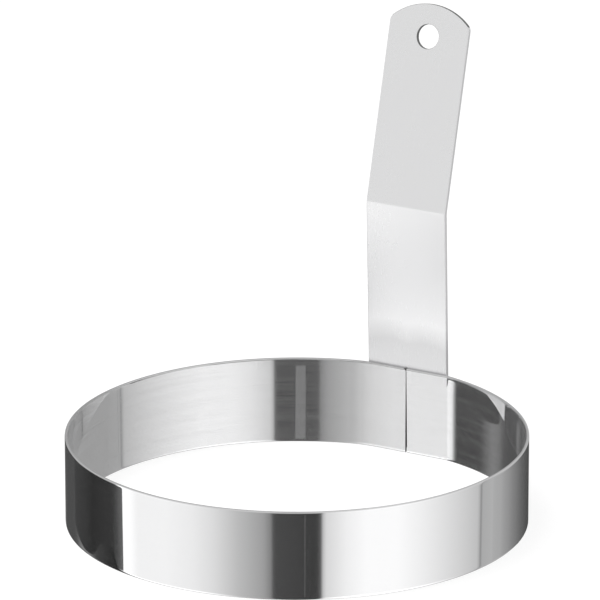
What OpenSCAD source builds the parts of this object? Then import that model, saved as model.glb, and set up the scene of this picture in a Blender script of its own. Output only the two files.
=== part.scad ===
// Egg ring with an upright handle, as it stands on the griddle.
// A steel strip is rolled into a band and left open at a butt seam. A second,
// bent strip is spot welded over the seam from outside and serves as handle.
// All sizes are in millimetres. +Z is up, the origin is the ring's axis at the
// band's lower edge, and the handle stands on the +Y side.

/* [Ring band] */

// Outer diameter of the ring
ring_d = 102; // [80:1:130]

// Height of the band
band_h = 20; // [14:0.5:35]

// Thickness of the band
band_t = 0.7; // [0.5:0.05:1.2]

// Rounding of the band's edges
band_edge_r = 0.15; // [0.05:0.05:0.2]

// Flat of the band that shows on each side of the handle's foot
seat_margin = 0.3; // [0.1:0.1:2]

/* [Seam] */

// Gap between the band's ends at the top edge
seam_top = 0.15; // [0.1:0.05:0.5]

// Gap between the band's ends at the bottom edge
seam_bottom = 0.5; // [0.1:0.05:1]

// Radius of the top corner of the band's -X end
seam_corner_r = 0.75; // [0.3:0.05:1.5]

/* [Handle] */

// Width of the handle's strip
handle_w = 20; // [14:0.5:26]

// Thickness of the handle's strip
handle_t = 1; // [0.8:0.1:2]

// Height of the foot's lower end above the band's lower edge
foot_lift = 1; // [0.5:0.1:4]

// Height above the band at which the strip starts to lean inward
lean_lift = 0.5; // [0.3:0.1:3]

// Inward lean of the leg, from upright
leg_lean = 1.8; // [0.5:0.1:5]

// Height of the upper bend, where the front faces would meet
bend_z = 58.2; // [45:0.1:80]

// Outward lean of the grip, from upright
grip_lean = 15; // [5:0.5:30]

// Inner radius of the upper bend
grip_bend_r = 1.5; // [1:0.1:6]

// Length of the grip from the upper bend to the tip
grip_l = 45.9; // [30:0.1:70]

// Radius of the grip's rounded end
tip_r = 14.3; // [13.5:0.1:30]

// Radius of the two corners of that end
tip_corner_r = 2; // [0.5:0.1:4]

/* [Hanging hole] */

// Diameter of the hanging hole
hole_d = 5.5; // [3:0.1:9]

// Distance from the tip to the hole's centre
hole_inset = 7.3; // [6:0.1:14]

/* [Spot welds] */

// Diameter of a weld nugget
weld_d = 3; // [2:0.1:4]

// Sheet left unmelted behind a nugget, on each side
weld_skin = 0.25; // [0.15:0.05:0.4]

// Distance between the two columns of welds
weld_pitch_x = 9; // [6:0.5:11]

// Distance between the two rows of welds
weld_pitch_z = 8; // [5:0.5:9]

// Diameter of the mark that the electrode leaves on the foot's back
mark_d = 4; // [3:0.1:5]

// Depth of that mark
mark_depth = 0.1; // [0.05:0.01:0.12]

/* [Hidden] */

$fn = 96;
edge_fn = 16;

// Length by which a cutting shape runs past the solid that it cuts
over = 1;

// Length over which the seat and the round of the band run into each other
seat_lap = 0.2;

// A rounding is drawn a hair larger than its radius, so that it crosses the
// faces that it runs into at about 2 degrees and ends on a clean edge.
round_k = 1 / cos(2);

ring_r = ring_d / 2;

// The seat is the flat of the band behind the foot, a chord of the ring.
seat_half = handle_w / 2 + seat_margin;
seat_y = sqrt(pow(ring_r, 2) - pow(seat_half, 2));

// Half of the seam's gap at a height above the band's lower edge
function seam_half(z) =
    (seam_bottom + (seam_top - seam_bottom) * z / band_h) / 2;

// Side view of the strip: points of its front face as [y, z]
lean_z = band_h + lean_lift;
bend_y = seat_y - (bend_z - lean_z) * tan(leg_lean);
grip_end = [bend_y + grip_l * sin(grip_lean), bend_z + grip_l * cos(grip_lean)];

// Where two straight parts of the strip meet at an angle, the corners of the
// back face lie further up or down than those of the front face.
grip_bend = leg_lean + grip_lean;
lean_back_z = lean_z + handle_t * tan(leg_lean / 2);
mitre_dir = (grip_lean - leg_lean) / 2;
mitre_l = handle_t / cos(grip_bend / 2);
bend_back = [bend_y + mitre_l * cos(mitre_dir), bend_z - mitre_l * sin(mitre_dir)];
grip_back_end = grip_end + handle_t * [cos(grip_lean), -sin(grip_lean)];

// The upper bend is an arc about a point behind the strip. It starts and
// ends a tangent length away from the corner of the front faces.
bend_out_r = grip_bend_r + handle_t;
bend_tan = bend_out_r * tan(grip_bend / 2);
bend_start = [bend_y + bend_tan * sin(leg_lean), bend_z - bend_tan * cos(leg_lean)];
bend_c = bend_start + bend_out_r * [cos(leg_lean), sin(leg_lean)];

// Heights along the grip, from the upper bend's corner
tip_cz = grip_l - tip_r;
corner_x = handle_w / 2 - tip_corner_r;
corner_z = tip_cz + sqrt(pow(tip_r - tip_corner_r, 2) - pow(corner_x, 2));
corner_out = (tip_r + over) / (tip_r - tip_corner_r);
hole_z = grip_l - hole_inset;

// The welds sit in the middle of the band's height.
weld_z = band_h / 2;
weld_in_band = band_t - weld_skin;
weld_in_foot = handle_t - weld_skin;

// Cross-section of the band, with its outer face at the given radius
module band_section(outer_r) {
    translate([outer_r - band_t, 0]) {
        translate([band_edge_r, 0])
            square([band_t - 2 * band_edge_r, band_h]);
        translate([0, band_edge_r])
            square([band_t, band_h - 2 * band_edge_r]);
        for (x = [band_edge_r, band_t - band_edge_r])
            for (y = [band_edge_r, band_h - band_edge_r])
                translate([x, y])
                    circle(r = band_edge_r, $fn = edge_fn);
    }
}

// The round of the band, cut away where the seat takes its place
module band_round() {
    difference() {
        rotate_extrude()
            band_section(ring_r);
        translate([-seat_half + seat_lap, 0, -over])
            cube([2 * (seat_half - seat_lap), ring_d, band_h + 2 * over]);
        translate([-ring_r, seat_y, -over])
            cube([ring_d, ring_r, band_h + 2 * over]);
    }
}

// The flat of the band, running a little way into the round at each end
module band_seat() {
    intersection() {
        translate([-seat_half - seat_lap, seat_y, 0])
            rotate([90, 0, 90])
                linear_extrude(2 * (seat_half + seat_lap))
                    band_section(0);
        cylinder(r = ring_r, h = band_h);
    }
}

// Places one copy of its child at each weld, on the seat's plane
module at_welds() {
    for (x = [-weld_pitch_x / 2, weld_pitch_x / 2])
        for (z = [weld_z - weld_pitch_z / 2, weld_z + weld_pitch_z / 2])
            translate([x, seat_y, z])
                children();
}

// One weld nugget, half in the band and half in the foot
module nugget() {
    translate([0, weld_in_foot, 0])
        rotate([90, 0, 0])
            cylinder(d = weld_d, h = weld_in_foot + weld_in_band);
}

// The open butt seam, with the rounded corner of the -X end
module seam() {
    low = seam_half(-over);
    high = seam_half(band_h + over);
    translate([0, seat_y + over, 0])
        rotate([90, 0, 0])
            linear_extrude(band_t + 2 * over) {
                polygon([
                    [-low, -over],
                    [low, -over],
                    [high, band_h + over],
                    [-high, band_h + over]
                ]);
                translate([-seam_top / 2 - seam_corner_r, band_h - seam_corner_r])
                    difference() {
                        square(seam_corner_r + seam_top / 2);
                        circle(r = seam_corner_r);
                    }
            }
}

module ring_band() {
    color("silver")
        difference() {
            union() {
                band_round();
                band_seat();
            }
            seam();
            at_welds()
                nugget();
        }
}

// Turns a shape drawn in [y, z] into one of the given width along X
module across(width) {
    translate([-width / 2, 0, 0])
        rotate([90, 0, 90])
            linear_extrude(width)
                children();
}

// The sector of the upper bend, out to the given radius, as [y, z]
module bend_sector(r) {
    polygon([
        bend_c,
        bend_c - r * [cos(leg_lean), sin(leg_lean)],
        bend_c - r * [cos(grip_lean), -sin(grip_lean)]
    ]);
}

// The strip with a square end: straight parts with a rounded upper bend
module strip() {
    difference() {
        union() {
            across(handle_w)
                polygon([
                    [seat_y, foot_lift],
                    [seat_y, lean_z],
                    [bend_y, bend_z],
                    grip_end,
                    grip_back_end,
                    bend_back,
                    [seat_y + handle_t, lean_back_z],
                    [seat_y + handle_t, foot_lift]
                ]);
            across(handle_w)
                difference() {
                    bend_sector(grip_bend_r + handle_t / 2);
                    translate(bend_c)
                        circle(r = grip_bend_r * round_k);
                }
        }
        across(handle_w + 2 * over)
            difference() {
                bend_sector(2 * bend_out_r);
                translate(bend_c)
                    circle(r = bend_out_r * round_k);
            }
    }
}

// What is cut off above the grip's rounded end, as [x, height above the
// bend's corner]
module tip_waste() {
    difference() {
        translate([-handle_w / 2 - over, corner_z])
            square([handle_w + 2 * over, tip_r]);
        translate([0, tip_cz])
            circle(r = tip_r);
    }
}

// What is cut off the +X corner of that end
module corner_waste() {
    difference() {
        polygon([
            [corner_x, corner_z],
            [handle_w / 2 + over, corner_z],
            [handle_w / 2 + over, grip_l],
            [corner_x * corner_out, tip_cz + (corner_z - tip_cz) * corner_out]
        ]);
        translate([corner_x, corner_z])
            circle(r = tip_corner_r * round_k);
    }
}

// Turns a shape drawn in [x, height above the bend's corner] into a cutter
// that passes square through the grip
module through_grip() {
    translate([0, bend_y, bend_z])
        rotate([-grip_lean, 0, 0])
            translate([0, handle_t + over, 0])
                rotate([90, 0, 0])
                    linear_extrude(handle_t + 2 * over)
                        children();
}

// The mark of a welding electrode, seen on the back of the foot
module weld_mark() {
    translate([0, handle_t + mark_depth, 0])
        rotate([90, 0, 0])
            cylinder(d1 = mark_d + 2 * mark_depth, d2 = mark_d - 2 * mark_depth, h = 2 * mark_depth);
}

module handle() {
    color("gainsboro")
        difference() {
            strip();
            through_grip()
                tip_waste();
            through_grip()
                corner_waste();
            through_grip()
                mirror([1, 0])
                    corner_waste();
            through_grip()
                translate([0, hole_z])
                    circle(d = hole_d);
            at_welds() {
                nugget();
                weld_mark();
            }
        }
}

module spot_welds() {
    color("dimgray")
        at_welds()
            nugget();
}

ring_band();
handle();
spot_welds();
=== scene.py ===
import math

import bmesh
import bpy
from mathutils import Matrix, Quaternion, Vector


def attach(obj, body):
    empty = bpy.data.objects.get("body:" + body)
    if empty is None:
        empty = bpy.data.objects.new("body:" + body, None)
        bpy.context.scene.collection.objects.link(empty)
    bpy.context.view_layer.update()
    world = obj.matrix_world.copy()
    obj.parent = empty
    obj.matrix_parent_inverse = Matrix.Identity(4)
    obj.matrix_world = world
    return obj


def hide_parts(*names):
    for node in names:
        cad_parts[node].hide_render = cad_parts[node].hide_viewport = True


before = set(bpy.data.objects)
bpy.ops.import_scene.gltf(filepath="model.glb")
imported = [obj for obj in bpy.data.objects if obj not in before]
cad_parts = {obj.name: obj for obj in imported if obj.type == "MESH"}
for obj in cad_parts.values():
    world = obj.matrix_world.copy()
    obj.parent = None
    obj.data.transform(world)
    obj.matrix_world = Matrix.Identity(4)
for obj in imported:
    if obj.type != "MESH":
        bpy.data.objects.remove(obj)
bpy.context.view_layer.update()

MM = 0.001


# Camera
# The ring is seen from about 1.6 m away through a long lens, from 20 degrees
# above the griddle and 30 degrees to the right of the handle's middle plane.

CAMERA_AZIMUTH = math.radians(29.88)
CAMERA_ELEVATION = math.radians(20.183)
CAMERA_DISTANCE = 1.6174
CAMERA_AIM = Vector((-7.33, 14.17, 45.32)) * MM
CAMERA_ROLL = math.radians(-0.054)

camera_data = bpy.data.cameras.new("camera")
camera_data.sensor_width = 36
camera_data.lens = 440.14
camera_data.clip_start = 0.1
camera_data.clip_end = 20
camera = bpy.data.objects.new("camera", camera_data)
bpy.context.collection.objects.link(camera)
bpy.context.scene.camera = camera

camera.location = CAMERA_DISTANCE * Vector((
    math.sin(CAMERA_AZIMUTH) * math.cos(CAMERA_ELEVATION),
    -math.cos(CAMERA_AZIMUTH) * math.cos(CAMERA_ELEVATION),
    math.sin(CAMERA_ELEVATION),
))
camera.rotation_mode = "QUATERNION"
camera.rotation_quaternion = (
    (CAMERA_AIM - camera.location).to_track_quat("-Z", "Y")
    @ Quaternion((0, 0, 1), CAMERA_ROLL)
)


# Ring band
# A strip of 0.7 mm stainless steel, polished on both sides and rolled into a
# ring. Its ends are pressed flat where the handle's foot sits and meet in an
# open butt seam, a little wider at the bottom; one end has a rounded corner.

RING_RADIUS = 51 * MM
BAND_HEIGHT = 20 * MM
BAND_THICKNESS = 0.7 * MM
SEAT_HALF_WIDTH = 10.3 * MM
SEAT_Y = math.sqrt(RING_RADIUS**2 - SEAT_HALF_WIDTH**2)
BAND_SIZES = {
    "Ring radius": RING_RADIUS,
    "Band height": BAND_HEIGHT,
    "Band thickness": BAND_THICKNESS,
    "Face flatness": 0.03,
    "Edge fullness": 0.70,
    "Seat distance": SEAT_Y,
    "Seat edge rounding": 0.9 * MM,
    "Seam gap at the top": 0.15 * MM,
    "Seam gap at the bottom": 0.5 * MM,
    "Seam corner radius": 0.75 * MM,
}
BAND_COLUMNS = 901
BAND_ROWS = 65

# The finish. Places are lengths of strip from the point opposite the seam, so
# the far end lies at about -160 mm. The haze is the share covered by its lines.
HAZE_LINES_PER_METRE = 40000
HAZE_OUTSIDE = 0.02
HAZE_INSIDE = 0.25
HAZE_IN_DULL_PATCH = 0.65
DULL_PATCH_PLACE = -74 * MM
DULL_PATCH_REACH = 8 * MM
DULL_PATCH_FADE = 15 * MM
# Painted shade: on the inside, the far end's flat seat is darkened a little, most just short of
# its edge, and fades out beyond it.
SEAT_SHADE_EDGE = -149 * MM
SEAT_SHADE_FADE = -145.5 * MM
SEAT_SHADE_NEAR_SEAM = 0.07
SEAT_SHADE_NEAR_EDGE = 0.20
MIRROR_STEEL = (0.87, 0.87, 0.875, 1)
HAZE_STEEL = (0.50, 0.50, 0.50, 1)
CUT_STEEL = (0.16, 0.16, 0.16, 1)


def add_node(tree, kind, inputs=None, **settings):
    """Adds a node. inputs gives each input a value, or a socket to wire to it."""
    node = tree.nodes.new(kind)
    for name, value in settings.items():
        setattr(node, name, value)
    for key, value in (inputs or {}).items():
        if isinstance(value, bpy.types.NodeSocket):
            tree.links.new(value, node.inputs[key])
        else:
            node.inputs[key].default_value = value
    return node


def calc(tree, operation, *values):
    """The result of one math node."""
    node = add_node(tree, "ShaderNodeMath", dict(enumerate(values)), operation=operation)
    return node.outputs[0]


def spread(tree, value, low, high, to_low, to_high):
    """value, taken from the range low to high into the range to_low to to_high."""
    node = add_node(tree, "ShaderNodeMapRange", {
        "Value": value, "From Min": low, "From Max": high,
        "To Min": to_low, "To Max": to_high,
    })
    return node.outputs["Result"]


def streaks(tree, place, stretch, scale, detail):
    """Noise drawn out into streaks: stretch is how dense it is along each axis."""
    drawn = add_node(tree, "ShaderNodeMapping", {"Vector": place, "Scale": stretch})
    noise = add_node(tree, "ShaderNodeTexNoise", {
        "Vector": drawn.outputs["Vector"], "Scale": scale, "Detail": detail,
    })
    return noise.outputs["Fac"]


def new_material(name):
    """An empty material, its tree and its Principled shader."""
    material = bpy.data.materials.new(name)
    material.use_nodes = True
    tree = material.node_tree
    return material, tree, tree.nodes["Principled BSDF"]


def make_polished_steel():
    """Mirror polish with a haze of lines along the strip, too fine to see one by
    one. The inside has more of them, most in a patch on the left. On the inside
    of the far end's flat seat, painted shade makes it a little darker, and the
    cut ends are dark."""
    material, tree, steel = new_material("polished_steel")
    steel.inputs["Metallic"].default_value = 1

    place = add_node(tree, "ShaderNodeAttribute", attribute_name="strip_place")
    place = place.outputs["Vector"]
    part = add_node(tree, "ShaderNodeSeparateXYZ", {"Vector": place}).outputs
    inside = spread(tree, part["Y"], 0.45 * BAND_THICKNESS, 0.55 * BAND_THICKNESS, 0, 1)
    uneven = streaks(tree, place, (25, 1, 2500), 1, 4)
    off_patch = calc(tree, "ABSOLUTE", calc(tree, "SUBTRACT", part["X"], DULL_PATCH_PLACE))
    share_inside = spread(tree, off_patch, DULL_PATCH_REACH, DULL_PATCH_FADE,
                          HAZE_IN_DULL_PATCH, HAZE_INSIDE)
    share = spread(tree, inside, 0, 1, HAZE_OUTSIDE, share_inside)
    share = calc(tree, "MULTIPLY", share, spread(tree, uneven, 0.3, 0.7, 0.7, 1.3))
    line = calc(tree, "FRACT", calc(tree, "MULTIPLY_ADD", part["Z"], HAZE_LINES_PER_METRE,
                                    calc(tree, "MULTIPLY", uneven, 5)))
    in_line = calc(tree, "LESS_THAN", line, share)
    blur = spread(tree, in_line, 0, 1, 0.02, 0.50)

    cut_end = add_node(tree, "ShaderNodeAttribute", attribute_name="cut_end")
    cut_end = spread(tree, cut_end.outputs["Fac"], 0.05, 0.15, 0, 1)
    tree.links.new(calc(tree, "MAXIMUM", blur, calc(tree, "MULTIPLY", cut_end, 0.55)),
                   steel.inputs["Roughness"])

    dullness_and_painted_shade = calc(tree, "MAXIMUM", calc(tree, "MULTIPLY", in_line, 0.5), cut_end)
    # Painted shade on the inside of the far end's flat seat, added to the dull share
    pressed = spread(tree, part["X"], SEAT_SHADE_EDGE, SEAT_SHADE_FADE, 1, 0)
    pressed = calc(tree, "MULTIPLY", pressed, inside)
    seat_shade_depth = spread(tree, part["X"], SEAT_SHADE_EDGE - 8 * MM, SEAT_SHADE_EDGE - 1 * MM,
                              SEAT_SHADE_NEAR_SEAM, SEAT_SHADE_NEAR_EDGE)
    pressed = calc(tree, "MULTIPLY", pressed, seat_shade_depth)
    dullness_and_painted_shade = calc(tree, "ADD", dullness_and_painted_shade, pressed)
    colour = add_node(tree, "ShaderNodeValToRGB", {"Fac": dullness_and_painted_shade})
    colour.color_ramp.elements[0].color = MIRROR_STEEL
    colour.color_ramp.elements[1].color = CUT_STEEL
    colour.color_ramp.elements.new(0.5).color = HAZE_STEEL
    tree.links.new(colour.outputs["Color"], steel.inputs["Base Color"])

    waves = streaks(tree, place, (70, 1, 30), 1, 2)
    wavy = add_node(tree, "ShaderNodeBump", {
        "Height": waves, "Strength": 1, "Distance": 0.009 * MM,
    })
    tree.links.new(wavy.outputs["Normal"], steel.inputs["Normal"])
    return material


def make_rolling_tree(material):
    """Geometry Nodes that wrap a flat grid, 2 by 1, round the strip's section and
    roll it into the ring. The grid's middle lands opposite the seam."""
    tree = bpy.data.node_groups.new("roll_band", "GeometryNodeTree")
    tree.interface.new_socket(
        "Geometry", in_out="OUTPUT", socket_type="NodeSocketGeometry")
    sockets = {
        name: tree.interface.new_socket(
            name, in_out="INPUT", socket_type="NodeSocketFloat").identifier
        for name in BAND_SIZES
    }
    size = tree.nodes.new("NodeGroupInput").outputs
    radius, height = size["Ring radius"], size["Band height"]
    corner = size["Seam corner radius"]

    columns = BAND_COLUMNS + 2
    grid = add_node(tree, "GeometryNodeMeshGrid", {
        "Size X": 2, "Size Y": 1, "Vertices X": columns, "Vertices Y": BAND_ROWS,
    })
    flat = add_node(tree, "ShaderNodeSeparateXYZ", {
        "Vector": tree.nodes.new("GeometryNodeInputPosition").outputs[0],
    })

    # The first and last columns close the strip's two cut ends, so they lie in
    # the same plane as their neighbours, on the section's middle line.
    along = calc(tree, "MULTIPLY", flat.outputs["X"], (columns - 1) / (columns - 3))
    closing = calc(tree, "GREATER_THAN", calc(tree, "ABSOLUTE", along), 1.0005)
    along = calc(tree, "MAXIMUM", calc(tree, "MINIMUM", along, 1), -1)

    # The rows go once round the section, from the top edge down the inner face,
    # under the bottom edge and up the outer face.
    around = calc(tree, "MULTIPLY_ADD", flat.outputs["Y"], 2 * math.pi, -math.pi / 2)
    upward, outward = calc(tree, "SINE", around), calc(tree, "COSINE", around)
    rise = calc(tree, "MULTIPLY", calc(tree, "SIGN", upward),
                calc(tree, "POWER", calc(tree, "ABSOLUTE", upward), size["Face flatness"]))
    up = calc(tree, "MULTIPLY_ADD", rise, 0.5, 0.5)
    z = calc(tree, "MULTIPLY", height, up)
    swell = calc(tree, "MULTIPLY", calc(tree, "SIGN", outward),
                 calc(tree, "POWER", calc(tree, "ABSOLUTE", outward), size["Edge fullness"]))
    swell = calc(tree, "MULTIPLY", swell, calc(tree, "SUBTRACT", 1, closing))
    depth = calc(tree, "MULTIPLY", size["Band thickness"],
                 calc(tree, "MULTIPLY_ADD", swell, -0.5, 0.5))

    # Most of the gap is missing from the near end, so that the seam slants a
    # little, and the far end draws back further in its rounded top corner.
    gap = calc(tree, "SUBTRACT", size["Seam gap at the top"], size["Seam gap at the bottom"])
    gap = calc(tree, "MULTIPLY_ADD", gap, up, size["Seam gap at the bottom"])
    in_corner = calc(tree, "SUBTRACT", z, calc(tree, "SUBTRACT", height, corner))
    in_corner = calc(tree, "MAXIMUM", in_corner, 0)
    reach = calc(tree, "SUBTRACT",
                 calc(tree, "MULTIPLY", corner, corner),
                 calc(tree, "MULTIPLY", in_corner, in_corner))
    reach = calc(tree, "SQRT", calc(tree, "MAXIMUM", reach, 0))
    far_end = calc(tree, "LESS_THAN", along, 0)
    draw_back = calc(tree, "MULTIPLY", calc(tree, "SUBTRACT", corner, reach), far_end)
    own_share = spread(tree, far_end, 0, 1, 0.8, 0.2)
    short_by = calc(tree, "MULTIPLY_ADD", gap, own_share, draw_back)

    angle = calc(tree, "SUBTRACT", math.pi, calc(tree, "DIVIDE", short_by, radius))
    angle = calc(tree, "MULTIPLY", angle, along)
    reach_out = calc(tree, "SUBTRACT", radius, depth)
    x = calc(tree, "MULTIPLY", reach_out, calc(tree, "SINE", angle))
    y = calc(tree, "MULTIPLY", reach_out, calc(tree, "COSINE", angle))
    y = calc(tree, "MULTIPLY", y, -1)
    seat = calc(tree, "SUBTRACT", size["Seat distance"], depth)
    rounding = calc(tree, "MULTIPLY", size["Seat edge rounding"],
                    spread(tree, far_end, 0, 1, 0.2, 1))
    y = calc(tree, "SMOOTH_MIN", y, seat, rounding)

    strip_place = add_node(tree, "ShaderNodeCombineXYZ", {
        "X": calc(tree, "MULTIPLY", angle, radius), "Y": depth, "Z": z,
    })
    kept = add_node(tree, "GeometryNodeStoreNamedAttribute", {
        "Geometry": grid.outputs["Mesh"], "Name": "strip_place",
        "Value": strip_place.outputs[0],
    }, data_type="FLOAT_VECTOR", domain="POINT")
    kept = add_node(tree, "GeometryNodeStoreNamedAttribute", {
        "Geometry": kept.outputs["Geometry"], "Name": "cut_end", "Value": closing,
    }, data_type="FLOAT", domain="POINT")
    rolled = add_node(tree, "GeometryNodeSetPosition", {
        "Geometry": kept.outputs["Geometry"],
        "Position": add_node(tree, "ShaderNodeCombineXYZ", {
            "X": x, "Y": y, "Z": z}).outputs[0],
    })
    closed = add_node(tree, "GeometryNodeMergeByDistance", {
        "Geometry": rolled.outputs["Geometry"], "Distance": 1e-7})
    smooth = add_node(tree, "GeometryNodeSetShadeSmooth", {
        "Geometry": closed.outputs["Geometry"]})
    real = add_node(tree, "GeometryNodeRealizeInstances", {
        "Geometry": smooth.outputs["Geometry"]})
    finished = add_node(tree, "GeometryNodeSetMaterial", {
        "Geometry": real.outputs["Geometry"], "Material": material})
    add_node(tree, "NodeGroupOutput", {"Geometry": finished.outputs["Geometry"]})
    return tree, sockets


def bake_modifiers(piece):
    """Turns the piece, as its modifiers show it, into a plain mesh."""
    evaluated = piece.evaluated_get(bpy.context.evaluated_depsgraph_get())
    piece_mesh = bpy.data.meshes.new_from_object(evaluated)
    piece.modifiers.clear()
    piece.data = piece_mesh
    piece_mesh.name = piece.name
    return piece


band = bpy.data.objects.new("rolled_band", bpy.data.meshes.new("rolled_band"))
bpy.context.collection.objects.link(band)
rolling_tree, rolling_sockets = make_rolling_tree(make_polished_steel())
rolling = band.modifiers.new("roll", "NODES")
rolling.node_group = rolling_tree
for size_name, size in BAND_SIZES.items():
    rolling[rolling_sockets[size_name]] = size

bake_modifiers(band)
band.data.set_sharp_from_angle(angle=math.radians(60))

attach(band, "root")
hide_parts("ring_band")


# Handle
# One strip of 1 mm stainless steel with a satin finish, blanked with a
# rounded end and a hanging hole, deburred, then bent: the leg leans a little
# inward, the grip outward. Its foot lies on the band's outside, over the seam.

HANDLE_WIDTH = 20 * MM
HANDLE_THICKNESS = 1 * MM
HANDLE_DEBURR = 0.12 * MM
FOOT_Z = 1 * MM
LEAN_Z = 20.5 * MM
LEG_LEAN = math.radians(1.8)
LEAN_LENGTH = 1 * MM
BEND_Z = 58.2 * MM
BEND_RADIUS = 2.5 * MM
GRIP_LEAN = math.radians(15)
GRIP_LENGTH = 45.9 * MM
TIP_RADIUS = 14.3 * MM
TIP_CORNER_RADIUS = 2 * MM
HOLE_RADIUS = 2.75 * MM
HOLE_FROM_TIP = 7.3 * MM
MARK_DEPTH = 0.1 * MM
WELD_PITCH_X = 9 * MM
WELD_PITCH_Z = 8 * MM

# The finish. A colour's place goes from 0 at a weld, seen from the back, to
# BEYOND_TINT_AND_SHADE at TINT_AND_SHADE_REACH from it and beyond, and is 1 on sheared steel.
# Straw and blue heat tint lies within about 4 mm of a weld. The darker grey out to
# about 12 mm, fading by 17 mm, over the lower part of the handle, is painted shade.
TINT_AND_SHADE_REACH = 22.8 * MM
BEYOND_TINT_AND_SHADE = 0.95
TINT_AND_SHADE_STOPS = [
    (0.05, (0.64, 0.63, 0.61, 1)),
    (0.09, (0.56, 0.57, 0.62, 1)),
    (0.12, (0.70, 0.65, 0.56, 1)),
    (0.19, (0.71, 0.71, 0.715, 1)),
    (0.52, (0.71, 0.71, 0.715, 1)),
    (0.72, (0.935, 0.935, 0.94, 1)),
    (0.96, (0.935, 0.935, 0.94, 1)),
    (1.00, (0.20, 0.20, 0.20, 1)),
]
SHEARED_DEPTH = 0.08 * MM

bend_reach = BEND_RADIUS * math.tan((LEG_LEAN + GRIP_LEAN) / 2)
leg_length = (BEND_Z - LEAN_Z) / math.cos(LEG_LEAN) - LEAN_LENGTH / 2 - bend_reach

# The strip's front face from its lower end up: length of each part, and how
# far the strip turns in it. A turn towards the ring counts as positive.
STRIP_PARTS = [
    (LEAN_Z - LEAN_LENGTH / 2 - FOOT_Z, 0),
    (LEAN_LENGTH, LEG_LEAN),
    (leg_length, 0),
    (BEND_RADIUS * (LEG_LEAN + GRIP_LEAN), -LEG_LEAN - GRIP_LEAN),
    (GRIP_LENGTH - bend_reach, 0),
]
BLANK_LENGTH = sum(length for length, turn in STRIP_PARTS)


def on_bent_strip(x, up):
    """Where a point of the flat blank's front lies once the blank is bent."""
    y, z, heading = SEAT_Y, FOOT_Z, 0
    for length, turn in STRIP_PARTS:
        step = min(up, length)
        turned = turn * step / length
        chord = step * (math.sin(turned / 2) / (turned / 2) if turned else 1)
        y -= chord * math.sin(heading + turned / 2)
        z += chord * math.cos(heading + turned / 2)
        heading += turned
        up -= step
        if up <= 0:
            break
    return Vector((x, y, z))


def arc(centre_x, centre_up, radius, start, end, steps):
    """Points of an arc on the flat blank, its angles in radians."""
    angles = [start + (end - start) * i / steps for i in range(steps + 1)]
    return [
        (centre_x + radius * math.cos(a), centre_up + radius * math.sin(a))
        for a in angles
    ]


def make_blank_halves():
    """Outlines on the flat blank of its faces right of the middle line, from
    the foot to the tip: plain bands, then the rounded end around its hole."""
    half = HANDLE_WIDTH / 2
    levels, start = [0], 0
    for length, turn in STRIP_PARTS[:-1]:
        steps = max(1, round(abs(math.degrees(turn)) / 1.2))
        levels += [start + length * (i + 1) / steps for i in range(steps)]
        start += length
    tip_centre = BLANK_LENGTH - TIP_RADIUS
    corner_x = half - TIP_CORNER_RADIUS
    corner_lift = math.sqrt((TIP_RADIUS - TIP_CORNER_RADIUS) ** 2 - corner_x**2)
    corner_angle = math.atan2(corner_lift, corner_x)
    hole_up = BLANK_LENGTH - HOLE_FROM_TIP
    levels.append(hole_up - 3 * HOLE_RADIUS)

    faces = [
        [(0, low), (half, low), (half, high), (0, high)]
        for low, high in zip(levels, levels[1:])
    ]
    end = [(0, levels[-1]), (half, levels[-1])]
    end += arc(corner_x, tip_centre + corner_lift, TIP_CORNER_RADIUS, 0, corner_angle, 10)
    end += arc(0, tip_centre, TIP_RADIUS, corner_angle, math.pi / 2, 24)[1:]
    end += arc(0, hole_up, HOLE_RADIUS, math.pi / 2, -math.pi / 2, 32)
    return faces + [end]


def make_handle_mesh():
    """The front face of the bent handle."""
    shape = bmesh.new()
    for outline in make_blank_halves():
        mirrored = [(-x, up) for x, up in reversed(outline)]
        for side in (outline, mirrored):
            shape.faces.new([shape.verts.new(on_bent_strip(x, up)) for x, up in side])
    bmesh.ops.remove_doubles(shape, verts=shape.verts, dist=1e-6)
    for face in shape.faces:
        face.smooth = True
    mesh = bpy.data.meshes.new("satin_handle")
    shape.to_mesh(mesh)
    shape.free()
    return mesh


def make_mark_cutter():
    """A shallow dish at each weld, on the back of the foot, as one mesh."""
    profile = [(0, -1), (1.70, -1), (1.84, -0.93), (1.93, -0.65), (2.00, -0.25),
               (2.06, 0), (2.2, 0.3), (0, 0.3)]
    shape = bmesh.new()
    back = SEAT_Y + HANDLE_THICKNESS
    for side_x in (-0.5, 0.5):
        for side_z in (-0.5, 0.5):
            centre = Vector((side_x * WELD_PITCH_X, back,
                             BAND_HEIGHT / 2 + side_z * WELD_PITCH_Z))
            ring = [
                shape.verts.new(centre + Vector((r * MM, depth * MARK_DEPTH, 0)))
                for r, depth in profile
            ]
            spine = [shape.edges.new(pair) for pair in zip(ring, ring[1:])]
            bmesh.ops.spin(shape, geom=ring + spine, cent=centre, axis=(0, 1, 0),
                           angle=2 * math.pi, steps=48)
    bmesh.ops.remove_doubles(shape, verts=shape.verts, dist=1e-7)
    bmesh.ops.recalc_face_normals(shape, faces=shape.faces)
    for face in shape.faces:
        face.smooth = True
    mesh = bpy.data.meshes.new("electrode_marks")
    shape.to_mesh(mesh)
    shape.free()
    return mesh


def set_stops(ramp_node, stops):
    """Gives a colour ramp its stops, each a position and a colour."""
    ramp = ramp_node.color_ramp.elements
    while len(ramp) > 1:
        ramp.remove(ramp[-1])
    ramp[0].position, ramp[0].color = stops[0]
    for position, colour in stops[1:]:
        ramp.new(position).color = colour


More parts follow.
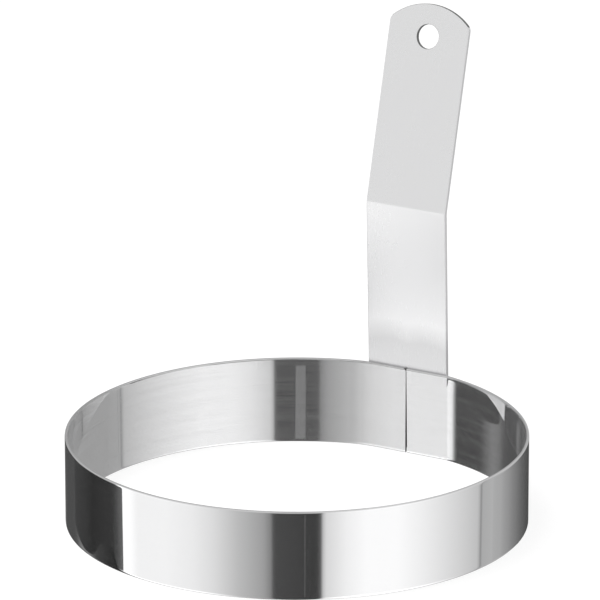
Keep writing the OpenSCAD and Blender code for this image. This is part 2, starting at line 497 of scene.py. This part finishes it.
def make_satin_steel():
    """Satin steel, with straw and blue heat tint close to the welds, painted shade
    darkening it further out over the lower part of the handle, and dark where it was sheared."""
    material, tree, steel = new_material("satin_steel")
    steel.inputs["Metallic"].default_value = 1

    place = tree.nodes.new("ShaderNodeTexCoord").outputs["Object"]
    grain = streaks(tree, place, (9000, 9000, 300), 1, 3)
    clouds = streaks(tree, place, (90, 90, 40), 1, 3)
    blur = calc(tree, "ADD", spread(tree, grain, 0.3, 0.7, 0.27, 0.31),
                spread(tree, clouds, 0.3, 0.7, -0.01, 0.01))
    tree.links.new(blur, steel.inputs["Roughness"])
    rough = add_node(tree, "ShaderNodeBump", {
        "Height": grain, "Strength": 1, "Distance": 0.00012 * MM})
    tree.links.new(rough.outputs["Normal"], steel.inputs["Normal"])

    # How far a point lies from the nearest weld, seen from the back
    centred = add_node(tree, "ShaderNodeVectorMath", {
        0: place, 1: (0, 0, BAND_HEIGHT / 2)}, operation="SUBTRACT")
    folded = add_node(tree, "ShaderNodeVectorMath", {
        0: centred.outputs[0]}, operation="ABSOLUTE")
    off_weld = add_node(tree, "ShaderNodeVectorMath", {
        0: folded.outputs[0],
        1: (WELD_PITCH_X / 2, SEAT_Y + HANDLE_THICKNESS, WELD_PITCH_Z / 2),
    }, operation="DISTANCE")
    # Heat tint close to a weld, then painted shade over the lower part of the handle
    tint_and_shade_place = spread(tree, off_weld.outputs["Value"], 0, TINT_AND_SHADE_REACH, 0, BEYOND_TINT_AND_SHADE)

    # The hole's wall and the edge of the rounded end are as the die sheared
    # them. Both are found by how far a point lies from the arc's own axis.
    off_axis = []
    for from_tip in (HOLE_FROM_TIP, TIP_RADIUS):
        offset = add_node(tree, "ShaderNodeVectorMath", {
            0: place, 1: on_bent_strip(0, BLANK_LENGTH - from_tip)}, operation="SUBTRACT")
        across = add_node(tree, "ShaderNodeVectorMath", {
            0: offset.outputs[0], 1: (0, -math.cos(GRIP_LEAN), math.sin(GRIP_LEAN)),
        }, operation="CROSS_PRODUCT")
        off_axis.append(add_node(tree, "ShaderNodeVectorMath", {
            0: across.outputs[0]}, operation="LENGTH").outputs["Value"])
    in_hole = calc(tree, "LESS_THAN", off_axis[0], HOLE_RADIUS + SHEARED_DEPTH)
    at_end = calc(tree, "MULTIPLY",
                  calc(tree, "GREATER_THAN", off_axis[1], TIP_RADIUS - SHEARED_DEPTH),
                  calc(tree, "LESS_THAN", off_axis[0], 0.6 * HANDLE_WIDTH))
    sheared = calc(tree, "MAXIMUM", in_hole, at_end)
    tint = add_node(tree, "ShaderNodeValToRGB", {
        "Fac": calc(tree, "MULTIPLY_ADD", sheared, 1 - BEYOND_TINT_AND_SHADE, tint_and_shade_place)})
    set_stops(tint, TINT_AND_SHADE_STOPS)
    tree.links.new(tint.outputs["Color"], steel.inputs["Base Color"])
    return material


handle = bpy.data.objects.new("satin_handle", make_handle_mesh())
handle.data.materials.append(make_satin_steel())
bpy.context.collection.objects.link(handle)
plate = handle.modifiers.new("plate", "SOLIDIFY")
plate.thickness = HANDLE_THICKNESS
plate.offset = -1
plate.use_even_offset = True
deburred = handle.modifiers.new("deburred", "BEVEL")
deburred.width = HANDLE_DEBURR
deburred.segments = 3
deburred.angle_limit = math.radians(40)

marks = bpy.data.objects.new("electrode_marks", make_mark_cutter())
bpy.context.collection.objects.link(marks)
pressed = handle.modifiers.new("pressed", "BOOLEAN")
pressed.object = marks
pressed.operation = "DIFFERENCE"
pressed.solver = "EXACT"
handle.modifiers.new("even_shading", "WEIGHTED_NORMAL")
bake_modifiers(handle)
bpy.data.objects.remove(marks)

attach(handle, "root")
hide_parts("handle")


# Spot welds
# Four nuggets of steel melted between the foot and the two ends of the band.
# They are cast metal: dull, darker than the sheets and slightly grainy.

weld_metal, weld_tree, weld_steel = new_material("weld_metal")
weld_steel.inputs["Metallic"].default_value = 1
weld_place = weld_tree.nodes.new("ShaderNodeTexCoord").outputs["Object"]
cast_grain = streaks(weld_tree, weld_place, (1, 1, 1), 2500, 5)
weld_colour = add_node(weld_tree, "ShaderNodeValToRGB", {"Fac": cast_grain})
weld_colour.color_ramp.elements[0].color = (0.42, 0.42, 0.44, 1)
weld_colour.color_ramp.elements[1].color = (0.62, 0.62, 0.63, 1)
weld_tree.links.new(weld_colour.outputs["Color"], weld_steel.inputs["Base Color"])
weld_tree.links.new(
    spread(weld_tree, cast_grain, 0.3, 0.7, 0.4, 0.6), weld_steel.inputs["Roughness"])
for node_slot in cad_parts["spot_welds"].material_slots:
    node_slot.material = weld_metal


# Table and light
# The ring stands on a white table in a light tent, a drum that is white on the
# left and in front, with a dark opening for the camera, and grey and dark at the
# back. Reflections pass through the table and meet the tent's lower part.

TABLE_HALF_WIDTH = 3
TENT_RADIUS = 1.4
TENT_SHIFT = 1.0
TENT_LOW = -1.6
TENT_HIGH = 0.6
FLOOR_SHARE = 0.60
ROOF_GREY = 0.53
ROOF_FROM_PANEL = 0.22
BACK_ROOF_SHARE = 0.72
TABLE_GLOW = 0.80
TABLE_GREY = (0.28, 0.28, 0.28, 1)
WORLD_LIGHT = 0.55
CAMERA_ANGLE = CAMERA_AZIMUTH - math.pi / 2
CAMERA_TURN = Matrix.Rotation(CAMERA_AZIMUTH, 4, "Z")

# The band reflects the tent between these two slopes, as seen from the ring.
# Below and above them the bright panels are brighter still, for the handle.
BAND_SEES_LOW = -0.41
BAND_SEES_HIGH = -0.27
BRIGHTER_BELOW = 0.46
BRIGHTER_ABOVE = 0.05

# How bright the tent is, by the angle in degrees from the camera's side,
# going right
TENT_LIGHT = [
    (-168, 0.20), (-162, 0.08), (-142, 0.08), (-136, 0.105), (-130, 0.22),
    (-124, 0.25), (-113, 0.06), (-94.9, 0.02), (-93.4, 0.15), (-91.5, 1.05),
    (-89.6, 1.25), (-84, 1.13), (-81, 1.025), (-64, 1.03), (-50, 0.955),
    (-40, 0.82), (-28, 0.57), (-16, 0.39), (-12.3, 0.24), (-11, 0.075),
    (9.5, 0.048), (11.2, 0.12), (12.6, 0.60), (14, 0.78), (24, 1.00),
    (34, 1.12), (50, 1.12), (62, 1.01), (101.1, 0.585), (102.1, 0.06),
    (103.0, 0.455), (120, 0.52),
]

# Cards that stand close to the ring, each as upright lines: place to the right
# and to the back as the camera sees it, lower and upper height, brightness. The
# dark left and right cards give the band its outline. The two narrow ones show
# as thin grey lines inside it.
CARDS = {
    "left_card": [
        (-0.200, -0.0165, -0.0640, -0.026, 0.150),
        (-0.200, 0.0000, -0.0620, -0.026, 0.065),
        (-0.200, 0.0100, -0.0575, -0.026, 0.040),
        (-0.200, 0.0450, -0.0610, -0.028, 0.035),
        (-0.200, 0.0700, -0.0690, -0.030, 0.030),
        (-0.200, 0.1100, -0.0765, -0.036, 0.045),
        (-0.200, 0.2000, -0.0930, -0.060, 0.060),
    ],
    "right_card": [
        (0.060, 0.0558, -0.040, 0.000, 0.06),
        (0.094, 0.0643, -0.045, -0.005, 0.13),
        (0.122, 0.0713, -0.055, -0.012, 0.21),
        (0.171, 0.0835, -0.075, -0.030, 0.32),
        (0.260, 0.1057, -0.110, -0.055, 0.43),
        (0.450, 0.1510, -0.190, -0.115, 0.47),
    ],
    "strip_card": [
        (-0.0019, 0, -0.019, 0.0016, 0.21),
        (0.0003, 0, -0.019, 0.0016, 0.21),
    ],
    "slit_card": [
        (0.0170, -0.300, -0.100, -0.060, 0.11),
        (0.0194, -0.300, -0.100, -0.060, 0.11),
    ],
}


def make_tent_material():
    """Glows by the angle round the ring, so that polished steel shows bands, up to
    a grey roof. The bright panels reach higher than the dark ones. The floor and
    the back of the roof are a little darker."""
    material = bpy.data.materials.new("light_tent")
    material.use_nodes = True
    tree = material.node_tree
    tree.nodes.clear()
    place = tree.nodes.new("ShaderNodeTexCoord").outputs["Object"]
    turned = add_node(tree, "ShaderNodeVectorRotate", {
        "Vector": place, "Angle": -CAMERA_ANGLE}, rotation_type="Z_AXIS")
    angle = add_node(tree, "ShaderNodeTexGradient", {
        "Vector": turned.outputs["Vector"]}, gradient_type="RADIAL")
    light = add_node(tree, "ShaderNodeValToRGB", {"Fac": angle.outputs["Fac"]})
    set_stops(light, [
        ((degrees + 180) / 360, (level / 2, level / 2, level / 2, 1))
        for degrees, level in TENT_LIGHT
    ])
    panel = calc(tree, "MULTIPLY", light.outputs["Color"], 2)

    part = add_node(tree, "ShaderNodeSeparateXYZ", {"Vector": place}).outputs
    level_reach = add_node(tree, "ShaderNodeVectorMath", {
        0: place, 1: (1, 1, 0)}, operation="MULTIPLY")
    level_reach = add_node(tree, "ShaderNodeVectorMath", {
        0: level_reach.outputs[0]}, operation="LENGTH").outputs["Value"]
    slope = calc(tree, "DIVIDE", part["Z"], level_reach)
    bright = spread(tree, panel, 0.6, 0.9, 0, 1)
    below = spread(tree, slope, BAND_SEES_LOW - 0.11, BAND_SEES_LOW, BRIGHTER_BELOW, 0)
    above = spread(tree, slope, BAND_SEES_HIGH, BAND_SEES_HIGH + 0.07, 0, BRIGHTER_ABOVE)
    boost = calc(tree, "MULTIPLY", bright, calc(tree, "ADD", below, above))
    panel = calc(tree, "MULTIPLY", panel, calc(tree, "ADD", boost, 1))
    panel = calc(tree, "MULTIPLY", panel, spread(tree, slope, -1.8, -0.8, FLOOR_SHARE, 1))

    roof = calc(tree, "MULTIPLY_ADD", panel, ROOF_FROM_PANEL, ROOF_GREY)
    off_camera = calc(tree, "ABSOLUTE", calc(tree, "SUBTRACT", angle.outputs["Fac"], 0.5))
    roof = calc(tree, "MULTIPLY", roof, spread(tree, off_camera, 0.36, 0.46, 1, BACK_ROOF_SHARE))

    # A white panel ends about level with the griddle, and a dark one lower
    panel_top = calc(tree, "MULTIPLY_ADD", panel, 0.10, -0.10)
    past_top = calc(tree, "SUBTRACT", slope, panel_top)
    in_roof = spread(tree, past_top, -0.02, 0.02, 0, 1)
    brightness = calc(tree, "MULTIPLY_ADD", in_roof,
                      calc(tree, "SUBTRACT", roof, panel), panel)
    glow = add_node(tree, "ShaderNodeEmission", {"Strength": brightness})
    add_node(tree, "ShaderNodeOutputMaterial", {"Surface": glow.outputs[0]})
    return material


def make_card_material():
    """A card whose brightness goes evenly from one upright line to the next."""
    material = bpy.data.materials.new("card")
    material.use_nodes = True
    tree = material.node_tree
    tree.nodes.clear()
    level = add_node(tree, "ShaderNodeAttribute", attribute_name="level")
    glow = add_node(tree, "ShaderNodeEmission", {"Strength": level.outputs["Fac"]})
    add_node(tree, "ShaderNodeOutputMaterial", {"Surface": glow.outputs[0]})
    return material


def stand_card(name, material, lines):
    """An upright card through the given lines."""
    shape = bmesh.new()
    level = shape.verts.layers.float.new("level")
    last = None
    for right, back, low, high, brightness in lines:
        ends = [
            shape.verts.new(CAMERA_TURN @ Vector((right, back, height)))
            for height in (low, high)
        ]
        for end in ends:
            end[level] = brightness
        if last:
            shape.faces.new((last[0], ends[0], ends[1], last[1]))
        last = ends
    mesh = bpy.data.meshes.new(name)
    shape.to_mesh(mesh)
    shape.free()
    mesh.materials.append(material)
    return bpy.data.objects.new(name, mesh)


def make_table_material():
    """White as the camera sees it, with enough plain colour to show a shadow."""
    material = bpy.data.materials.new("white_table")
    material.use_nodes = True
    tree = material.node_tree
    tree.nodes.clear()
    ray = tree.nodes.new("ShaderNodeLightPath").outputs
    seen = add_node(tree, "ShaderNodeEmission", {
        "Color": (1, 1, 1, 1),
        "Strength": calc(tree, "MULTIPLY", ray["Is Camera Ray"], TABLE_GLOW)})
    matt = add_node(tree, "ShaderNodeBsdfDiffuse", {"Color": TABLE_GREY})
    both = add_node(tree, "ShaderNodeAddShader", {0: seen.outputs[0], 1: matt.outputs[0]})
    add_node(tree, "ShaderNodeOutputMaterial", {"Surface": both.outputs[0]})
    return material


table_shape = bmesh.new()
bmesh.ops.create_grid(table_shape, x_segments=1, y_segments=1, size=TABLE_HALF_WIDTH)
table_mesh = bpy.data.meshes.new("table")
table_shape.to_mesh(table_mesh)
table_shape.free()
table_mesh.materials.append(make_table_material())
table = bpy.data.objects.new("table", table_mesh)
table.visible_glossy = False
table.visible_transmission = False
table.visible_shadow = False

tent_shape = bmesh.new()
bmesh.ops.create_cone(
    tent_shape, cap_ends=True, segments=256, radius1=TENT_RADIUS,
    radius2=TENT_RADIUS, depth=TENT_HIGH - TENT_LOW,
    matrix=Matrix.Translation((
        TENT_SHIFT * math.cos(CAMERA_AZIMUTH),
        TENT_SHIFT * math.sin(CAMERA_AZIMUTH),
        (TENT_HIGH + TENT_LOW) / 2)))
tent_mesh = bpy.data.meshes.new("tent")
tent_shape.to_mesh(tent_mesh)
tent_shape.free()
tent_mesh.materials.append(make_tent_material())
tent = bpy.data.objects.new("tent", tent_mesh)

card_material = make_card_material()
cards = [stand_card(name, card_material, lines) for name, lines in CARDS.items()]
for reflected in (tent, *cards):
    reflected.visible_camera = False
    reflected.visible_diffuse = False
    reflected.visible_shadow = False

for staged in (table, tent, *cards):
    bpy.context.collection.objects.link(staged)

# The world is white to the camera and to reflections, and dimmer as a light
world = bpy.data.worlds.new("studio")
world.use_nodes = True
bpy.context.scene.world = world
world_tree = world.node_tree
background = world_tree.nodes["Background"]
background.inputs["Color"].default_value = (1, 1, 1, 1)
world_ray = world_tree.nodes.new("ShaderNodeLightPath").outputs
world_white = calc(
    world_tree, "MAXIMUM", world_ray["Is Camera Ray"],
    calc(world_tree, "MAXIMUM", world_ray["Is Glossy Ray"],
         world_ray["Is Transmission Ray"]))
world_tree.links.new(
    spread(world_tree, world_white, 0, 1, WORLD_LIGHT, 1), background.inputs["Strength"])

overhead_data = bpy.data.lights.new("overhead", "AREA")
overhead_data.shape = "SQUARE"
overhead_data.size = 0.8
overhead_data.energy = 9
overhead = bpy.data.objects.new("overhead", overhead_data)
overhead.location = (-0.35, -0.25, 1.1)
overhead.visible_glossy = False
overhead.rotation_mode = "QUATERNION"
overhead.rotation_quaternion = (-overhead.location).to_track_quat("-Z", "Y")
bpy.context.collection.objects.link(overhead)

bpy.context.scene.view_settings.view_transform = "Standard"
